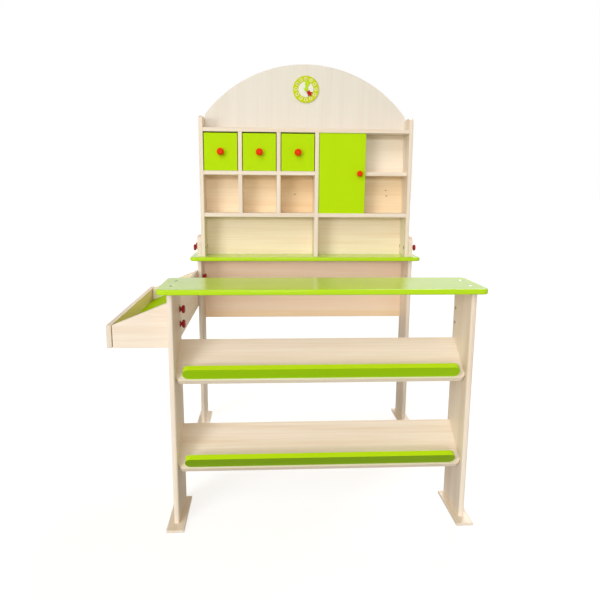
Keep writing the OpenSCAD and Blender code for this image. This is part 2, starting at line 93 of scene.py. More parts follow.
def math_node(tree, operation, first, second):
    made = place_node(tree, "ShaderNodeMath", operation=operation)
    feed(tree, made.inputs[0], first)
    feed(tree, made.inputs[1], second)
    return made.outputs["Value"]


def stretched(tree, vector, factors):
    made = place_node(tree, "ShaderNodeVectorMath", operation="MULTIPLY")
    tree.links.new(vector, made.inputs[0])
    made.inputs[1].default_value = factors
    return made.outputs["Vector"]


def noise(tree, vector, scale, detail=2.0, roughness=0.5):
    made = place_node(tree, "ShaderNodeTexNoise", Scale=scale, Detail=detail, Roughness=roughness)
    tree.links.new(vector, made.inputs["Vector"])
    return made.outputs["Fac"]


def layer(tree, place, stretch, detail=2.0, roughness=0.5):
    """Noise that is drawn out along the grain."""
    return noise(tree, stretched(tree, place, stretch), 1.0, detail, roughness)


def spread(tree, value, low, high, to_low=0.0, to_high=1.0):
    """Maps the stretch from low to high onto another stretch, held at its ends."""
    made = place_node(tree, "ShaderNodeMapRange", clamp=True)
    tree.links.new(value, made.inputs["Value"])
    for name, number in (("From Min", low), ("From Max", high), ("To Min", to_low),
                         ("To Max", to_high)):
        made.inputs[name].default_value = number
    return made.outputs["Result"]


# Most of a noise lies between these values
NOISE_RANGE = (0.3, 0.7)
# Sockets of a Mix node that is set to colours: mask, first and second colour, then the result
MIX_INPUTS, MIX_RESULT = (0, 6, 7), 2


def blend_colours(tree, mask, first, second):
    made = place_node(tree, "ShaderNodeMix", data_type="RGBA")
    for index, value in zip(MIX_INPUTS, (mask, first, second)):
        feed(tree, made.inputs[index], value)
    return made.outputs[MIX_RESULT]


def new_group(name, inputs, outputs):
    """A shader node group; inputs are (label, kind, value), outputs are (label, kind)."""
    tree = bpy.data.node_groups.new(name, "ShaderNodeTree")
    for label, kind, value in inputs:
        socket = tree.interface.new_socket(name=label, in_out="INPUT",
                                           socket_type="NodeSocket" + kind)
        socket.default_value = value
    for label, kind in outputs:
        tree.interface.new_socket(name=label, in_out="OUTPUT", socket_type="NodeSocket" + kind)
    return tree, tree.nodes.new("NodeGroupInput").outputs, tree.nodes.new("NodeGroupOutput").inputs


# Effects that the finishes share

# Stretch of each layer of a board's figure, along the grain and across it
BAND_STRETCH = (0.06, 1.0, 1.3)
DRIFT_STRETCH = (2.0, 9.0, 9.0)
STREAK_STRETCH = (3.5, 210.0, 210.0)
FIBRE_STRETCH = (14.0, 620.0, 620.0)
PORE_STRETCH = (90.0, 1700.0, 1700.0)
# Shares of the bands and of the fibrous tone, and of the streaks in that tone
BAND_SHARE, FIBROUS_SHARE, STREAK_SHARE = 0.4, 0.6, 0.65
PORE_SHARE = 0.3
FIBRE_HEIGHT = 0.6
BIRCH_ROUGHNESS = (0.36, 0.54)


def make_timber_figure():
    """Growth bands, fibres and pores of a board whose grain runs along X."""
    tree, given, gives = new_group(
        "timber_figure",
        [("Place", "Vector", (0, 0, 0)), ("Pale", "Color", (0.8, 0.7, 0.55, 1)),
         ("Band", "Color", (0.6, 0.45, 0.3, 1)), ("Figure", "Float", 0.5)],
        [("Color", "Color"), ("Roughness", "Float"), ("Height", "Float")])
    place = given["Place"]
    bands = place_node(tree, "ShaderNodeTexWave", wave_type="BANDS", bands_direction="DIAGONAL",
                       Scale=9.0, Distortion=7.0, Detail=2.0, Detail_Scale=1.6)
    tree.links.new(stretched(tree, place, BAND_STRETCH), bands.inputs["Vector"])
    drift = layer(tree, place, DRIFT_STRETCH)
    streaks = layer(tree, place, STREAK_STRETCH, detail=3.0, roughness=0.6)
    fibres = layer(tree, place, FIBRE_STRETCH, detail=3.0, roughness=0.6)
    pores = spread(tree, layer(tree, place, PORE_STRETCH, detail=1.0), 0.66, 0.78)
    banded = math_node(tree, "MULTIPLY", spread(tree, bands.outputs["Fac"], 0.35, 1.0),
                       spread(tree, drift, *NOISE_RANGE, 0.25, 1.0))
    streaky = math_node(tree, "MULTIPLY", spread(tree, streaks, 0.38, 0.68), STREAK_SHARE)
    fine = math_node(tree, "MULTIPLY", spread(tree, fibres, 0.35, 0.75), 1 - STREAK_SHARE)
    fibrous = math_node(tree, "ADD", streaky, fine)
    mixed = math_node(tree, "ADD", math_node(tree, "MULTIPLY", banded, BAND_SHARE),
                      math_node(tree, "MULTIPLY", fibrous, FIBROUS_SHARE))
    mask = math_node(tree, "MULTIPLY", mixed, given["Figure"])
    wood = blend_colours(tree, mask, given["Pale"], given["Band"])
    dotted = math_node(tree, "MULTIPLY", pores, PORE_SHARE)
    tree.links.new(blend_colours(tree, dotted, wood, given["Band"]), gives["Color"])
    tree.links.new(spread(tree, mixed, 0.0, 1.0, *BIRCH_ROUGHNESS), gives["Roughness"])
    raised = math_node(tree, "MULTIPLY", fibres, FIBRE_HEIGHT)
    tree.links.new(math_node(tree, "SUBTRACT", raised, pores), gives["Height"])
    return tree


# Cosines of the bend at which rubbing starts and is full, and the scale of its patches
RUB_START, RUB_FULL, RUB_PATCHES = 0.995, 0.85, 70.0


def make_eased_edge():
    """Mask of the narrow zone along a piece's edges, where hands rub the finish."""
    tree, given, gives = new_group(
        "eased_edge", [("Place", "Vector", (0, 0, 0)), ("Width", "Float", 2.0 * MM)],
        [("Edge", "Float")])
    rounded = place_node(tree, "ShaderNodeBevel", samples=4)
    tree.links.new(given["Width"], rounded.inputs["Radius"])
    surface = tree.nodes.new("ShaderNodeNewGeometry")
    bend = place_node(tree, "ShaderNodeVectorMath", operation="DOT_PRODUCT")
    tree.links.new(rounded.outputs["Normal"], bend.inputs[0])
    tree.links.new(surface.outputs["Normal"], bend.inputs[1])
    patches = noise(tree, given["Place"], RUB_PATCHES, detail=3.0)
    patchy = spread(tree, patches, 0.35, 0.7, 0.3, 1.0)
    worn = spread(tree, bend.outputs["Value"], RUB_START, RUB_FULL)
    tree.links.new(math_node(tree, "MULTIPLY", worn, patchy), gives["Edge"])
    return tree


# Stretch of the lacquer's drift of tone, of the grain that shows through it, and of its smears
TONE_STRETCH = (5.0, 16.0, 16.0)
GHOST_STRETCH = (12.0, 420.0, 420.0)
SMEAR_STRETCH = (9.0, 13.0, 11.0)
PEEL_SCALE = 420.0
PEEL_SHARE = 0.5
THIN_SHARE = 0.35
LACQUER_ROUGHNESS = (0.13, 0.22)


def make_sprayed_skin():
    """Lacquer over wood: a slow drift of tone, orange peel and the marks of handling."""
    tree, given, gives = new_group(
        "sprayed_skin",
        [("Place", "Vector", (0, 0, 0)), ("Coat", "Color", (0.5, 0.5, 0.5, 1)),
         ("Thin", "Color", (0.6, 0.6, 0.6, 1))],
        [("Color", "Color"), ("Roughness", "Float"), ("Height", "Float")])
    place = given["Place"]
    tone = layer(tree, place, TONE_STRETCH, detail=3.0)
    drift = spread(tree, tone, 0.4, 0.8, 0.0, THIN_SHARE)
    peel = noise(tree, place, PEEL_SCALE)
    ghost = layer(tree, place, GHOST_STRETCH)
    smears = layer(tree, place, SMEAR_STRETCH, detail=4.0, roughness=0.65)
    tree.links.new(blend_colours(tree, drift, given["Coat"], given["Thin"]), gives["Color"])
    tree.links.new(spread(tree, smears, 0.35, 0.75, *LACQUER_ROUGHNESS), gives["Roughness"])
    tree.links.new(math_node(tree, "ADD", math_node(tree, "MULTIPLY", peel, PEEL_SHARE),
                             math_node(tree, "MULTIPLY", ghost, 1 - PEEL_SHARE)), gives["Height"])
    return tree


# How a knot is drawn out along X, how far its rim wavers, and at what scale
KNOT_STRETCH = (0.7, 1.0, 1.0)
KNOT_WAVER, WAVER_SCALE = 0.4 * MM, 600.0


def make_pin_knot():
    """Mask of one small knot, dark in the middle and drawn out along the grain."""
    tree, given, gives = new_group(
        "pin_knot", [("Spot", "Vector", (0, 0, 0)), ("Middle", "Vector", (0, 0, 0)),
                     ("Radius", "Float", 2.0 * MM)], [("Knot", "Float")])
    apart = place_node(tree, "ShaderNodeVectorMath", operation="SUBTRACT")
    tree.links.new(given["Spot"], apart.inputs[0])
    tree.links.new(given["Middle"], apart.inputs[1])
    length = place_node(tree, "ShaderNodeVectorMath", operation="LENGTH")
    tree.links.new(stretched(tree, apart.outputs["Vector"], KNOT_STRETCH), length.inputs[0])
    waver = spread(tree, noise(tree, given["Spot"], WAVER_SCALE), *NOISE_RANGE,
                   -KNOT_WAVER, KNOT_WAVER)
    ragged = math_node(tree, "ADD", length.outputs["Value"], waver)
    share = math_node(tree, "DIVIDE", ragged, given["Radius"])
    tree.links.new(spread(tree, share, 0.35, 1.0, 1.0, 0.0), gives["Knot"])
    return tree


TIMBER_FIGURE = make_timber_figure()
EASED_EDGE = make_eased_edge()
PIN_KNOT = make_pin_knot()
SPRAYED_SKIN = make_sprayed_skin()

# Finishes

# Turns of the mapping that lay a board's grain along X, by the axis the grain follows
GRAIN_TURN = {"X": (0.0, 0.0, 0.0), "Y": (0.0, 0.0, -math.pi / 2), "Z": (0.0, math.pi / 2, 0.0)}
# A finish's shift moves its figure by so many of these steps, so that no two boards are alike
FIGURE_STEP = (0.37, 0.113, 0.071)


def new_finish(name, along, shift):
    """An empty material with its Principled shader and a place vector along the grain."""
    material = bpy.data.materials.new(name)
    material.use_nodes = True
    tree = material.node_tree
    shader = tree.nodes["Principled BSDF"]
    spot = tree.nodes.new("ShaderNodeTexCoord")
    turn = place_node(tree, "ShaderNodeMapping")
    turn.inputs["Rotation"].default_value = GRAIN_TURN[along]
    turn.inputs["Location"].default_value = tuple(step * shift for step in FIGURE_STEP)
    tree.links.new(spot.outputs["Object"], turn.inputs["Vector"])
    return material, tree, shader, turn.outputs["Vector"]


def place_group(tree, group, place, **values):
    """Adds a shared effect; its first input takes the place vector."""
    made = place_node(tree, "ShaderNodeGroup", node_tree=group)
    tree.links.new(place, made.inputs[0])
    for name, value in values.items():
        made.inputs[name].default_value = value
    return made.outputs


def bump(tree, shader, height, strength, distance):
    made = place_node(tree, "ShaderNodeBump", Strength=strength, Distance=distance)
    tree.links.new(height, made.inputs["Height"])
    tree.links.new(made.outputs["Normal"], shader.inputs["Normal"])


# Strength and depth of each finish's relief
BIRCH_RELIEF, LACQUER_RELIEF, ZINC_RELIEF = (0.12, 0.2 * MM), (0.03, 0.1 * MM), (0.1, 0.05 * MM)
# Width of the rim that hands have rubbed
BIRCH_RIM, LACQUER_RIM = 2.0 * MM, 1.6 * MM
BIRCH_PALE, BIRCH_BAND = (0.91, 0.825, 0.71, 1), (0.74, 0.56, 0.385, 1)
BIRCH_HANDLED, HANDLED_SHARE = (0.92, 0.85, 0.74, 1), 0.45
KNOT_BROWN, KNOT_SHARE = (0.20, 0.10, 0.04, 1), 0.8
BIRCH_GLOSS = 0.35


def birch(name, along, shift, pale=BIRCH_PALE, band=BIRCH_BAND, figure=0.7, knots=()):
    """Clear satin lacquer over pale birch. Each knot is a point and a radius."""
    material, tree, shader, place = new_finish(name, along, shift)
    wood = place_group(tree, TIMBER_FIGURE, place, Pale=pale, Band=band, Figure=figure)
    rim = place_group(tree, EASED_EDGE, place, Width=BIRCH_RIM)
    share = math_node(tree, "MULTIPLY", rim["Edge"], HANDLED_SHARE)
    colour = blend_colours(tree, share, wood["Color"], BIRCH_HANDLED)
    for middle, radius in knots:
        spot = tree.nodes.new("ShaderNodeTexCoord").outputs["Object"]
        knot = place_group(tree, PIN_KNOT, spot, Middle=middle, Radius=radius)
        share = math_node(tree, "MULTIPLY", knot["Knot"], KNOT_SHARE)
        colour = blend_colours(tree, share, colour, KNOT_BROWN)
    tree.links.new(colour, shader.inputs["Base Color"])
    tree.links.new(wood["Roughness"], shader.inputs["Roughness"])
    shader.inputs["Specular IOR Level"].default_value = BIRCH_GLOSS
    bump(tree, shader, wood["Height"], *BIRCH_RELIEF)
    return material


# Coats: the full colour, the thin one, and the one that hands have worn
LIME = ((0.485, 0.775, 0.001, 1), (0.52, 0.80, 0.004, 1), (0.62, 0.84, 0.03, 1))
# The tray floor's deeper lime is painted shade
TRAY_SHADE_LIME = ((0.41, 0.675, 0.001, 1), (0.44, 0.70, 0.003, 1), (0.53, 0.75, 0.02, 1))
# The rail coats are darker lime: painted shade for the faces that look forwards and down
UPPER_RAIL_SHADE = ((0.36, 0.66, 0.001, 1), (0.39, 0.68, 0.002, 1), (0.41, 0.69, 0.003, 1))
LOWER_RAIL_SHADE = ((0.24, 0.44, 0.001, 1), (0.27, 0.48, 0.002, 1), (0.30, 0.52, 0.003, 1))
RED = ((0.82, 0.042, 0.001, 1), (0.86, 0.052, 0.002, 1), (0.74, 0.07, 0.004, 1))
DEEP_RED = ((0.36, 0.006, 0.008, 1), (0.42, 0.010, 0.010, 1), (0.52, 0.03, 0.02, 1))
OLIVE_RING = ((0.55, 0.66, 0.006, 1), (0.60, 0.70, 0.012, 1), (0.68, 0.74, 0.05, 1))
CLOCK_SPOT = ((0.80, 0.82, 0.22, 1), (0.84, 0.86, 0.30, 1), (0.76, 0.78, 0.16, 1))
DIAL_WHITE = ((0.84, 0.86, 0.76, 1), (0.87, 0.88, 0.80, 1), (0.80, 0.82, 0.66, 1))
LEAF_GREEN = ((0.53, 0.74, 0.02, 1), (0.58, 0.78, 0.04, 1), (0.66, 0.82, 0.10, 1))
STAR_RED = ((0.50, 0.022, 0.004, 1), (0.55, 0.03, 0.006, 1), (0.64, 0.06, 0.012, 1))
WORN_SHARE = 0.4
# Sheens: gloss, and the roughness that rubbing down adds
GLOSSY, RUBBED, MATT = (0.5, 0.0), (0.05, 0.3), (0.004, 0.3)
KNOB_SHEEN, SCREW_KNOB_SHEEN, RAIL_SHEEN = (0.06, 0.2), (0.4, 0.1), (0.1, 0.2)


def lacquer(name, along, shift, coat, sheen):
    """Sprayed colour lacquer, worn along the edges."""
    material, tree, shader, place = new_finish(name, along, shift)
    full, thin, worn = coat
    gloss, rubbing = sheen
    skin = place_group(tree, SPRAYED_SKIN, place, Coat=full, Thin=thin)
    rim = place_group(tree, EASED_EDGE, place, Width=LACQUER_RIM)
    share = math_node(tree, "MULTIPLY", rim["Edge"], WORN_SHARE)
    tree.links.new(blend_colours(tree, share, skin["Color"], worn), shader.inputs["Base Color"])
    tree.links.new(math_node(tree, "ADD", skin["Roughness"], rubbing), shader.inputs["Roughness"])
    shader.inputs["Specular IOR Level"].default_value = gloss
    bump(tree, shader, skin["Height"], *LACQUER_RELIEF)
    return material


# Plating: the dull tone and the bright one
ZINC_PLATE = ((0.50, 0.51, 0.53, 1), (0.64, 0.64, 0.63, 1))
DARK_ZINC = ((0.19, 0.18, 0.165, 1), (0.27, 0.255, 0.23, 1))
DRAWN_STRETCH, MOTTLE_SCALE = (60.0, 2600.0, 2600.0), 900.0
ZINC_ROUGHNESS = (0.24, 0.42)


def zinc(name, plating):
    """Plated steel: drawn streaks and a mottled sheen."""
    material, tree, shader, place = new_finish(name, "X", shift=5)
    streaks = layer(tree, place, DRAWN_STRETCH)
    mottle = spread(tree, noise(tree, place, MOTTLE_SCALE, detail=3.0), *NOISE_RANGE)
    tree.links.new(blend_colours(tree, mottle, *plating), shader.inputs["Base Color"])
    shader.inputs["Metallic"].default_value = 1.0
    tree.links.new(spread(tree, streaks, *NOISE_RANGE, *ZINC_ROUGHNESS),
                   shader.inputs["Roughness"])
    bump(tree, shader, streaks, *ZINC_RELIEF)
    return material


INK_DARK, INK_PALE = (0.035, 0.04, 0.03, 1), (0.08, 0.085, 0.07, 1)
INK_SCALE, INK_ROUGHNESS = 1500.0, (0.45, 0.6)


def dial_ink(name):
    """Printed numerals, a little uneven."""
    material, tree, shader, place = new_finish(name, "X", shift=7)
    blotch = noise(tree, place, INK_SCALE, detail=3.0)
    tree.links.new(blend_colours(tree, spread(tree, blotch, *NOISE_RANGE), INK_DARK, INK_PALE),
                   shader.inputs["Base Color"])
    tree.links.new(spread(tree, blotch, *NOISE_RANGE, *INK_ROUGHNESS), shader.inputs["Roughness"])
    return material


# Boards: the solids again, with the free edges eased as a router does it

# Points this close are in contact, or are one point
CONTACT, WELD = 0.2 * MM, 0.001 * MM
EASE_STEPS = 3
# Points along an edge at which it is tested for contact
EDGE_POINTS = (0.1, 0.3, 0.5, 0.7, 0.9)
# Bends between the faces of a round hole's wall, in radians
HOLE_BENDS = (-0.7, -0.01)
# Angles: faces that join into one, edges to ease, creases that stay sharp
FLAT, CORNER, BOARD_SHARP, TURNED_SHARP = (math.radians(a) for a in (0.5, 40, 35, 40))


def in_contact(point, owner):
    """True if another node's box holds the point: an edge there is in a joint."""
    for name, (low, high) in boxes.items():
        if name != owner and all(low[i] - CONTACT <= point[i] <= high[i] + CONTACT
                                 for i in range(3)):
            return True
    return False


def is_free(edge, owner):
    """Edges that are mostly inside joints keep their corner."""
    start, end = (v.co for v in edge.verts)
    held = sum(in_contact(start.lerp(end, share), owner) for share in EDGE_POINTS)
    return held < len(EDGE_POINTS) / 2


def is_hole_wall(face):
    """True if the face bends inwards to a neighbour, as the wall of a round hole does."""
    sharpest, slightest = HOLE_BENDS
    return any(len(e.link_faces) == 2 and sharpest < e.calc_face_angle_signed(0.0) < slightest
               for e in face.edges)


def object_from(mesh, name, sharp):
    """Turns a working mesh into a smooth object that keeps its sharp corners."""
    bmesh.ops.recalc_face_normals(mesh, faces=mesh.faces)
    data = bpy.data.meshes.new(name)
    mesh.to_mesh(data)
    mesh.free()
    data.shade_smooth()
    data.set_sharp_from_angle(angle=sharp)
    return add_object(name, data)


def eased(name, radius, parted=(), joint_lines=False, drawn_back=None):
    """A board that stands for its node, with its free outer edges rounded; with joint lines the
    edges in its joints too. Each parting, a point and a direction, splits faces across. An end at
    the first x of drawn_back moves to the second."""
    mesh = bmesh.new()
    mesh.from_mesh(nodes[name].data)
    bmesh.ops.remove_doubles(mesh, verts=mesh.verts, dist=WELD)
    bmesh.ops.dissolve_limit(mesh, angle_limit=FLAT, verts=mesh.verts, edges=mesh.edges)
    bmesh.ops.recalc_face_normals(mesh, faces=mesh.faces)
    for vert in mesh.verts:
        if drawn_back and abs(vert.co.x - drawn_back[0]) < CONTACT:
            vert.co.x = drawn_back[1]
    corners = [e for e in mesh.edges
               if len(e.link_faces) == 2 and e.calc_face_angle_signed(0.0) > CORNER
               and not any(is_hole_wall(f) for f in e.link_faces)
               and (joint_lines or is_free(e, name))]
    bmesh.ops.bevel(mesh, geom=corners, offset=radius, offset_type="OFFSET", segments=EASE_STEPS,
                    profile=0.5, affect="EDGES", clamp_overlap=True)
    for point, way in parted:
        bmesh.ops.bisect_plane(mesh, geom=mesh.verts[:] + mesh.edges[:] + mesh.faces[:],
                               dist=WELD, plane_co=point, plane_no=way)
    board = object_from(mesh, name + "_board", BOARD_SHARP)
    even = board.modifiers.new("even_shading", "WEIGHTED_NORMAL")
    even.keep_sharp = True
    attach(board, body_of[name])
    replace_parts(board, name)
    return board


def dress(piece, material, *others):
    """Gives a piece its finish, and others, each with its test, on the faces that pass it."""
    piece.data.materials.clear()
    piece.data.materials.append(material)
    for index, (other, takes_it) in enumerate(others, 1):
        piece.data.materials.append(other)
        for face in piece.data.polygons:
            if takes_it(face):
                face.material_index = index


def dress_node(name, material):
    for slot in nodes[name].material_slots:
        slot.material = material


# Birch boards: node, grain, rounding in mm
BIRCH_BOARDS = [
    ("front_upright_right", "Z", 3.6), ("front_upright_left", "Z", 3.6),
    ("front_foot_left", "Y", 1.5), ("front_foot_right", "Y", 1.5),
    ("display_shelf_upper", "X", 2.6), ("display_shelf_lower", "X", 2.6),
    ("rear_leg_right", "Z", 3.6), ("rear_leg_left", "Z", 3.6),
    ("rear_foot_left", "Y", 1.5), ("rear_foot_right", "Y", 1.5),
    ("bracket_left", "Y", 2.0), ("bracket_right", "Y", 2.0),
    ("cabinet_side_left", "Z", 2.2), ("cabinet_side_right", "Z", 2.2),
    ("cabinet_top", "X", 1.4), ("centre_divider", "Z", 1.4),
    ("drawer_shelf", "X", 1.4), ("lower_shelf_left", "X", 1.4), ("lower_shelf_right", "X", 1.4),
    ("bay_shelf", "X", 1.4), ("drawer_divider_1", "Z", 1.4), ("drawer_divider_2", "Z", 1.4),
    ("lower_divider_1", "Z", 1.4), ("lower_divider_2", "Z", 1.4),
    ("drawer_box_1", "X", 1.0), ("drawer_box_2", "X", 1.0), ("drawer_box_3", "X", 1.0),
    ("tray_end_panel", "Y", 1.6)]
for order, (name, along, rounding) in enumerate(BIRCH_BOARDS, 1):
    dress(eased(name, rounding * MM), birch("birch_" + name, along, order))

# A face looks along an axis if so much of its direction does
FACING = 0.9

# The tray's corners show the line of each joint, and the lip its end grain and a warm inside face,
# whose warmth is painted shade
CORNER_GAP = 2.0 * MM
PANEL_EASE, LIP_EASE = 0.8 * MM, 1.2 * MM
END_PALE, END_BAND = (0.80, 0.74, 0.63, 1), (0.68, 0.57, 0.43, 1)
INSIDE_SHADE_PALE, INSIDE_SHADE_BAND = (0.94, 0.71, 0.44, 1), (0.82, 0.55, 0.29, 1)
lip_face = boxes["tray_lip_panel"][1].x
for order, name in enumerate(("tray_front_panel", "tray_rear_panel"), 36):
    dress(eased(name, PANEL_EASE, joint_lines=True, drawn_back=(lip_face, lip_face + CORNER_GAP)),
          birch("birch_" + name, "X", order))
dress(eased("tray_lip_panel", LIP_EASE, joint_lines=True), birch("birch_tray_lip", "Y", 38),
      (birch("birch_lip_end_grain", "Z", 44, END_PALE, END_BAND, figure=0.6),
       lambda face: abs(face.normal.y) > FACING),
      # The lip's warm inside face is painted shade
      (birch("birch_lip_inside_shade", "Y", 48, INSIDE_SHADE_PALE, INSIDE_SHADE_BAND),
       lambda face: face.normal.x > FACING))

# The back panel's front veneer: warm behind the small bays, which is painted warm shade in these
# recesses, and warmer to the right, paler behind the upper right bay and at the bottom, the palest
# in the arch. Knots are x, z and radius in mm.
ARCH_PALE, ARCH_BAND = (0.80, 0.765, 0.695, 1), (0.73, 0.655, 0.545, 1)
LOW_PALE, LOW_BAND = (0.98, 0.84, 0.67, 1), (0.84, 0.61, 0.39, 1)
# The small bays' warm, deep tones are painted shade in these recesses
BAY_SHADE_PALE, BAY_SHADE_BAND = (0.97, 0.78, 0.53, 1), (0.85, 0.59, 0.31, 1)
FIRST_PALE, FIRST_BAND = (0.97, 0.81, 0.59, 1), (0.85, 0.62, 0.37, 1)
THIRD_PALE, THIRD_BAND = (0.92, 0.70, 0.43, 1), (0.79, 0.52, 0.25, 1)
RIGHT_PALE, RIGHT_BAND = (0.98, 0.88, 0.74, 1), (0.88, 0.70, 0.50, 1)
BAY_KNOTS = [(35.7, 726.4, 2.6), (321.8, 740.0, 2.4), (324.0, 723.0, 2.8)]
BAY_FIGURE = 0.85
BACK_EASE = 1.0 * MM
back_face = boxes["cabinet_back"][0].y
knots = [((x * MM, back_face, z * MM), radius * MM) for x, z, radius in BAY_KNOTS]
top_z, bay_z, low_z = (mid(name).z for name in ("cabinet_top", "bay_shelf", "lower_shelf_left"))
first_x, second_x, centre_x = (mid(name).x for name in ("lower_divider_1", "lower_divider_2",
                                                        "centre_divider"))
partings = [((0, 0, z), (0, 0, 1)) for z in (top_z, bay_z, low_z)]
partings += [((x, 0, 0), (1, 0, 0)) for x in (first_x, second_x, centre_x)]


def is_front(face):
    return face.normal.y < -FACING


dress(eased("cabinet_back", BACK_EASE, parted=partings),
      birch("birch_back", "Z", 47),
      (birch("birch_bays_shade", "X", 39, BAY_SHADE_PALE, BAY_SHADE_BAND, BAY_FIGURE, knots), is_front),
      (birch("birch_first_bay", "X", 39, FIRST_PALE, FIRST_BAND, BAY_FIGURE),
       lambda face: is_front(face) and face.center.x < first_x),
      (birch("birch_third_bay", "X", 39, THIRD_PALE, THIRD_BAND, BAY_FIGURE, knots),
       lambda face: is_front(face) and second_x < face.center.x < centre_x),
      (birch("birch_right_bay", "X", 45, RIGHT_PALE, RIGHT_BAND),
       lambda face: is_front(face) and face.center.x > centre_x and face.center.z > bay_z),
      (birch("birch_low_bays", "X", 46, LOW_PALE, LOW_BAND, figure=0.75),
       lambda face: is_front(face) and face.center.z < low_z),
      (birch("birch_arch", "Z", 40, ARCH_PALE, ARCH_BAND, figure=0.5),
       lambda face: is_front(face) and face.center.z > top_z))

APRON_EASE = 1.2 * MM
# The apron and its strip have warm birch tones brightened as painted light, standing in for the
# light that the worktop and the counter keep off them
APRON_LIT_PALE, APRON_LIT_BAND = (0.97, 0.77, 0.57, 1), (0.90, 0.62, 0.41, 1)
STRIP_LIT_PALE, STRIP_LIT_BAND = (0.97, 0.74, 0.48, 1), (0.88, 0.59, 0.34, 1)
dress(eased("rear_apron", APRON_EASE),
      birch("birch_apron", "X", 41, APRON_LIT_PALE, APRON_LIT_BAND, figure=0.55))
dress(eased("rear_apron_strip", APRON_EASE),
      birch("birch_apron_strip", "X", 42, STRIP_LIT_PALE, STRIP_LIT_BAND, figure=0.6))
dress_node("shelf_dowels", birch("birch_dowels", "X", 43))

# Rubbed lime boards: node, grain, rounding in mm
LIME_BOARDS = [
    ("drawer_front_1", "X", 1.3), ("drawer_front_2", "X", 1.3), ("drawer_front_3", "X", 1.3),
    ("sliding_door", "Z", 1.2)]
for order, (name, along, rounding) in enumerate(LIME_BOARDS, 51):
    dress(eased(name, rounding * MM), lacquer("lime_" + name, along, order, LIME, RUBBED))

# The tray's floor has one thin matt coat, a little deeper: the deeper green is painted shade
dress(eased("tray_floor", PANEL_EASE), lacquer("shaded_lime_tray_floor", "Y", 60, TRAY_SHADE_LIME, MATT))

# The rails' face that looks forwards and down has a deeper coat that is painted shade, the lower
# one deepest
RAIL_EASE, RAIL_SHADE_FACING = 2.4 * MM, 0.6
RAIL_SHADE_COATS = [("display_rail_upper", UPPER_RAIL_SHADE), ("display_rail_lower", LOWER_RAIL_SHADE)]
for order, (name, coat) in enumerate(RAIL_SHADE_COATS, 58):
    dress(eased(name, RAIL_EASE), lacquer("lime_" + name, "X", order, LIME, GLOSSY),
          (lacquer("shaded_lime_" + name, "X", order, coat, RAIL_SHEEN),
           lambda face: face.normal.y < -RAIL_SHADE_FACING and face.normal.z < 0))

# The two tops have a bare underside
TOP_EASE, UNDER_FACING = 3.0 * MM, 0.95
for order, name in enumerate(("counter_top", "rear_worktop"), 63):
    dress(eased(name, TOP_EASE), lacquer("lime_" + name, "X", order, LIME, GLOSSY),
          (birch("birch_under_" + name, "X", order), lambda face: face.normal.z < -UNDER_FACING))

for order, name in enumerate(("drawer_knob_1", "drawer_knob_2", "drawer_knob_3", "door_knob"), 71):
    dress_node(name, lacquer("red_" + name, "Y", order, RED, KNOB_SHEEN))
for order, name in enumerate(("cabinet_knobs", "tray_knobs"), 76):
    dress_node(name, lacquer("deep_red_" + name, "X", order, DEEP_RED, SCREW_KNOB_SHEEN))

# Clock: olive ring, pale spots, a leaf for the hours, a dark red star for the minutes. The star
# starts this far from the pin.
STAR_START = 7.0 * MM
RING_EASE, HAND_EASE = 0.8 * MM, 0.3 * MM
dress(eased("clock_ring", RING_EASE), lacquer("olive_clock_ring", "X", 62, OLIVE_RING, RUBBED))
dress_node("clock_face", lacquer("white_dial", "X", 3, DIAL_WHITE, RUBBED))
dress(eased("hour_hand", HAND_EASE), lacquer("leaf_green_hand", "X", 55, LEAF_GREEN, RUBBED))
dress_node("clock_spots", lacquer("pale_clock_spots", "X", 66, CLOCK_SPOT, RUBBED))
dress_node("clock_pin", lacquer("lime_clock_pin", "Y", 67, LIME, RUBBED))
pin_mid = mid("clock_pin")
hand_reach = mid("minute_hand") - pin_mid
star_way = Vector((hand_reach.x, 0.0, hand_reach.z)).normalized()
star_foot = pin_mid + star_way * STAR_START
dress(eased("minute_hand", HAND_EASE, parted=[(star_foot, star_way)]),
      lacquer("lime_minute_stem", "X", 82, LIME, RUBBED),
      (lacquer("red_minute_star", "X", 81, STAR_RED, RUBBED),
       lambda face: (face.center - star_foot).dot(star_way) > 0))

steel = zinc("zinc_plate", ZINC_PLATE)
for name in ("cabinet_bolts", "tray_bolts"):
    dress_node(name, steel)

# Fittings turned round an axis

TURNED_SIDES = 32


def turned(name, body, outline, spots, material):
    """One piece of equal turned fittings. The outline is (radius, height) pairs in mm; each
    spot is a point and the direction that the height runs in."""
    mesh = bmesh.new()
    angles = [2 * math.pi * i / TURNED_SIDES for i in range(TURNED_SIDES)]
    for point, way in spots:
        stand = Matrix.Translation(point) @ Vector((0, 0, 1)).rotation_difference(
            Vector(way)).to_matrix().to_4x4()
        rings = []
        for radius, height in outline:
            if radius == 0:
                rings.append([mesh.verts.new(stand @ Vector((0, 0, height * MM)))])
                continue
            rings.append([mesh.verts.new(stand @ Vector((
                radius * MM * math.cos(a), radius * MM * math.sin(a), height * MM)))
                for a in angles])
        for inner, outer in zip(rings, rings[1:]):
            for i in range(TURNED_SIDES):
                j = (i + 1) % TURNED_SIDES
                corners = [inner[i % len(inner)], inner[j % len(inner)],
                           outer[j % len(outer)], outer[i % len(outer)]]
                kept = list(dict.fromkeys(corners))
                if len(kept) > 2:
                    mesh.faces.new(kept)
    made = object_from(mesh, name, TURNED_SHARP)
    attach(made, body)
    dress(made, material)
    return made


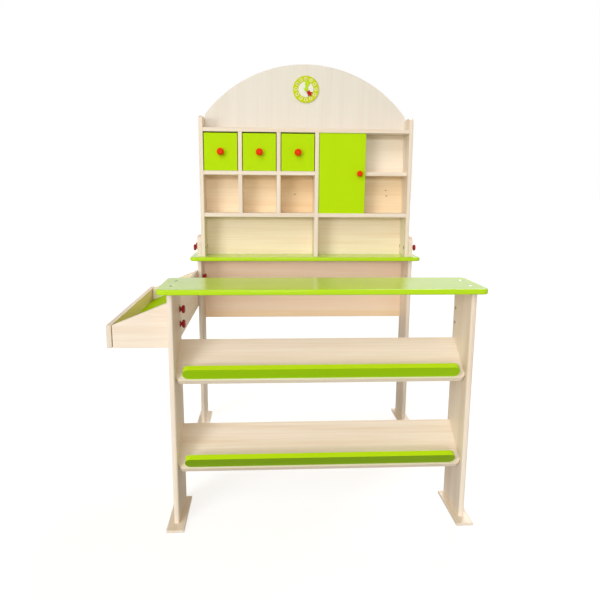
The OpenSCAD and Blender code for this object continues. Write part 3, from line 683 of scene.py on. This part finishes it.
# Threaded sleeves at the ends of the cabinet bolts
SLEEVE = [(0, 0.2), (2.3, 0.2), (2.3, 0.6), (2.7, 0.8), (4.4, 0.8), (4.8, 0.4), (4.8, 0.0),
          (0, 0.0)]
bolts_low, bolts_high = boxes["cabinet_bolts"]
bolt_r = (bolts_high.z - bolts_low.z) / 2
bolt_z = (bolts_high.z + bolts_low.z) / 2
inner_x = [boxes["cabinet_side_left"][1].x, boxes["cabinet_side_right"][0].x]
turned("cabinet_sleeves", "frame", SLEEVE,
       [((x, y, bolt_z), (way, 0, 0)) for x, way in zip(inner_x, (1, -1))
        for y in (bolts_low.y + bolt_r, bolts_high.y - bolt_r)],
       zinc("dark_sleeves", DARK_ZINC))

# Brown wooden bushes in the spare holes; their dark brown is painted shade inside the holes
BUSH = [(3.0, -8.0), (3.0, 0.1), (3.2, 0.25), (3.7, 0.25), (3.9, 0.1), (3.9, 0.0), (3.45, 0.0),
        (3.45, -8.0), (3.0, -8.0)]
BUSH_SHADE_PALE, BUSH_SHADE_BAND = (0.40, 0.29, 0.19, 1), (0.31, 0.21, 0.13, 1)
bolts_low, bolts_high = boxes["tray_bolts"]
spare_holes = [("front_upright_right", bolts_low.y + bolt_r),
               ("rear_leg_right", bolts_high.y - bolt_r)]
turned("spare_hole_bushes", "frame", BUSH,
       [((boxes[name][0].x, y, z), (-1, 0, 0)) for name, y in spare_holes
        for z in (bolts_low.z + bolt_r, bolts_high.z - bolt_r)],
       birch("birch_bushes_shade", "X", 49, BUSH_SHADE_PALE, BUSH_SHADE_BAND, figure=0.6))

# Counter screws: countersunk heads with a round socket
SCREW = [(0, -43.0), (1.2, -42.0), (2.0, -40.0), (2.0, -3.2), (4.0, -0.8), (4.0, 0.05), (3.6, 0.3),
         (2.0, 0.42), (1.7, 0.2), (1.7, -1.6), (0, -1.6)]
HEAD_R = 4.0 * MM
screws_low, screws_high = boxes["counter_screws"]
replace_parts(turned("counter_screw_heads", "frame", SCREW,
                   [((x, y, screws_high.z), (0, 0, 1))
                    for x in (screws_low.x + HEAD_R, screws_high.x - HEAD_R)
                    for y in (screws_low.y + HEAD_R, screws_high.y - HEAD_R)], steel),
            "counter_screws")

# Clock numerals

NUMERAL_SIZE = 7.28 * MM
NUMERAL_PROUD = 0.12 * MM
# From a spot's outer edge to its middle
SPOT_INSET = 5.5 * MM
spots_low, spots_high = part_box("clock_spots")
ring_low, ring_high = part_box("clock_ring")
clock_mid = (ring_low + ring_high) / 2
spot_ring_r = (spots_high.z - spots_low.z) / 2 - SPOT_INSET


def numeral(hour):
    """A printed number on its spot, upright, facing the customer."""
    text = bpy.data.curves.new(f"numeral_{hour}", "FONT")
    text.body = str(hour)
    text.size = NUMERAL_SIZE
    text.align_x, text.align_y = "CENTER", "CENTER"
    text.extrude = NUMERAL_PROUD / 2
    lettering = add_object(f"numeral_{hour}", text)
    angle = math.radians(30 * hour)
    spot = Vector((clock_mid.x + spot_ring_r * math.sin(angle), spots_low.y - NUMERAL_PROUD / 2,
                   clock_mid.z + spot_ring_r * math.cos(angle)))
    lettering.matrix_world = Matrix.Translation(spot) @ Matrix.Rotation(math.pi / 2, 4, "X")
    bpy.context.view_layer.update()
    data = bpy.data.meshes.new_from_object(lettering.evaluated_get(
        bpy.context.evaluated_depsgraph_get()))
    data.transform(lettering.matrix_world)
    bpy.data.objects.remove(lettering)
    made = add_object(f"clock_numeral_{hour}", data)
    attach(made, "frame")
    return made


ink = dial_ink("dial_ink")
for hour in range(1, 13):
    dress(numeral(hour), ink)

# Studio

WHITE = (1, 1, 1, 1)
FLOOR_REACH = 40.0
# The floor's paper, the white that the camera sees added to it, and how much of that is mirrored
FLOOR_PAPER, FLOOR_GLOW, MIRRORED_SHARE = (0.43, 0.445, 0.465, 1), 0.712, 0.13


def make_floor():
    material = bpy.data.materials.new("studio_floor")
    material.use_nodes = True
    tree = material.node_tree
    tree.nodes.remove(tree.nodes["Principled BSDF"])
    paper = place_node(tree, "ShaderNodeBsdfDiffuse", Color=FLOOR_PAPER)
    glow = place_node(tree, "ShaderNodeEmission", Color=WHITE)
    rays = tree.nodes.new("ShaderNodeLightPath")
    mirrored = math_node(tree, "MULTIPLY", rays.outputs["Is Glossy Ray"], MIRRORED_SHARE)
    seen = math_node(tree, "MAXIMUM", rays.outputs["Is Camera Ray"], mirrored)
    seen = math_node(tree, "MAXIMUM", seen, rays.outputs["Is Transmission Ray"])
    tree.links.new(math_node(tree, "MULTIPLY", seen, FLOOR_GLOW), glow.inputs["Strength"])
    both = tree.nodes.new("ShaderNodeAddShader")
    tree.links.new(paper.outputs["BSDF"], both.inputs[0])
    tree.links.new(glow.outputs["Emission"], both.inputs[1])
    tree.links.new(both.outputs["Shader"], tree.nodes["Material Output"].inputs["Surface"])
    mesh = bpy.data.meshes.new("floor")
    mesh.from_pydata([(x * FLOOR_REACH, y * FLOOR_REACH, 0)
                      for x, y in ((-1, -1), (1, -1), (1, 1), (-1, 1))], [], [(0, 1, 2, 3)])
    floor = add_object("floor", mesh)
    mesh.materials.append(material)


# The room's light, and how much darker than white its reflection is, except low behind the stall,
# where the white backdrop stands
ROOM_LIGHT, ROOM_DIM, ROOM_TINT = 0.40, 0.85, (1.0, 0.79, 0.54, 1)
BACKDROP_BEHIND, BACKDROP_LOW = (-0.3, 0.4), (0.2, 0.45)


def make_world():
    world = bpy.data.worlds.new("studio")
    bpy.context.scene.world = world
    world.use_nodes = True
    tree = world.node_tree
    backdrop = tree.nodes["Background"]
    rays = tree.nodes.new("ShaderNodeLightPath")
    glossy = rays.outputs["Is Glossy Ray"]
    seen = math_node(tree, "MAXIMUM", rays.outputs["Is Camera Ray"], glossy)
    seen = math_node(tree, "MAXIMUM", seen, rays.outputs["Is Transmission Ray"])
    way = tree.nodes.new("ShaderNodeTexCoord")
    parts = tree.nodes.new("ShaderNodeSeparateXYZ")
    tree.links.new(way.outputs["Generated"], parts.inputs["Vector"])
    behind = spread(tree, parts.outputs["Y"], *BACKDROP_BEHIND)
    low = spread(tree, parts.outputs["Z"], *BACKDROP_LOW, 1.0, 0.0)
    dimmed = spread(tree, math_node(tree, "MULTIPLY", behind, low), 0.0, 1.0, ROOM_DIM, 0.0)
    strength = spread(tree, seen, 0.0, 1.0, ROOM_LIGHT, 1.0)
    dark = math_node(tree, "MULTIPLY", glossy, dimmed)
    tree.links.new(math_node(tree, "SUBTRACT", strength, dark), backdrop.inputs["Strength"])
    tree.links.new(blend_colours(tree, seen, ROOM_TINT, WHITE), backdrop.inputs["Color"])


LAMP_TINT = (0.96, 0.98, 1.0)


def soft_sun(name, from_way, share, spread_deg):
    """An even soft light. A white face square to it gets the share of full white."""
    lamp = bpy.data.lights.new(name, "SUN")
    lamp.energy, lamp.color = math.pi * share, LAMP_TINT
    lamp.angle = math.radians(spread_deg)
    made = add_object(name, lamp)
    made.rotation_euler = (-Vector(from_way)).to_track_quat("-Z", "Y").to_euler()


def softbox(name, place, aim, size, watts):
    lamp = bpy.data.lights.new(name, "AREA")
    lamp.shape, lamp.size = "SQUARE", size
    lamp.energy, lamp.color = watts, LAMP_TINT
    made = add_object(name, lamp)
    made.location = place
    made.rotation_euler = (Vector(aim) - Vector(place)).to_track_quat("-Z", "Y").to_euler()


make_floor()
make_world()
soft_sun("front_light", (0.02, -1.0, 0.172), 0.17, 7.0)
soft_sun("top_light", (-0.45, -1.0, 0.85), 0.30, 35.0)
soft_sun("back_light", (0.35, 1.0, 0.8), 0.38, 20.0)
soft_sun("side_light", (1.0, 0.12, 0.4), 0.15, 30.0)
softbox("left_box", (-2.7, -3.5, 1.2), (0.0, 0.0, 0.75), 1.5, 60.0)
softbox("right_box", (2.8, -3.5, 1.2), (0.0, 0.0, 0.75), 2.0, 6.0)

# Camera, fitted to the photograph's edges: focal length and width of the picture in pixels, width
# of the sensor in mm, angles in degrees

FOCAL, PICTURE, SENSOR = 591.415, 600.0, 36.0
PITCH, YAW, ROLL = (math.radians(a) for a in (10.808, 3.346, 0.423))
CAMERA_PLACE = (-55.655 * MM, -1559.501 * MM, 748.543 * MM)
ahead = Vector((math.sin(YAW) * math.cos(PITCH), math.cos(YAW) * math.cos(PITCH),
                -math.sin(PITCH)))
level = Vector((math.cos(YAW), -math.sin(YAW), 0.0))
above = level.cross(ahead)
right = level * math.cos(ROLL) + above * math.sin(ROLL)
up = above * math.cos(ROLL) - level * math.sin(ROLL)
camera = add_object("camera", bpy.data.cameras.new("camera"))
camera.data.sensor_width = SENSOR
camera.data.lens = FOCAL / PICTURE * SENSOR
facing = Matrix((right, up, -ahead)).transposed().to_4x4()
camera.matrix_world = Matrix.Translation(CAMERA_PLACE) @ facing
bpy.context.scene.camera = camera
bpy.context.scene.view_settings.view_transform = "Standard"

bpy.context.view_layer.update()
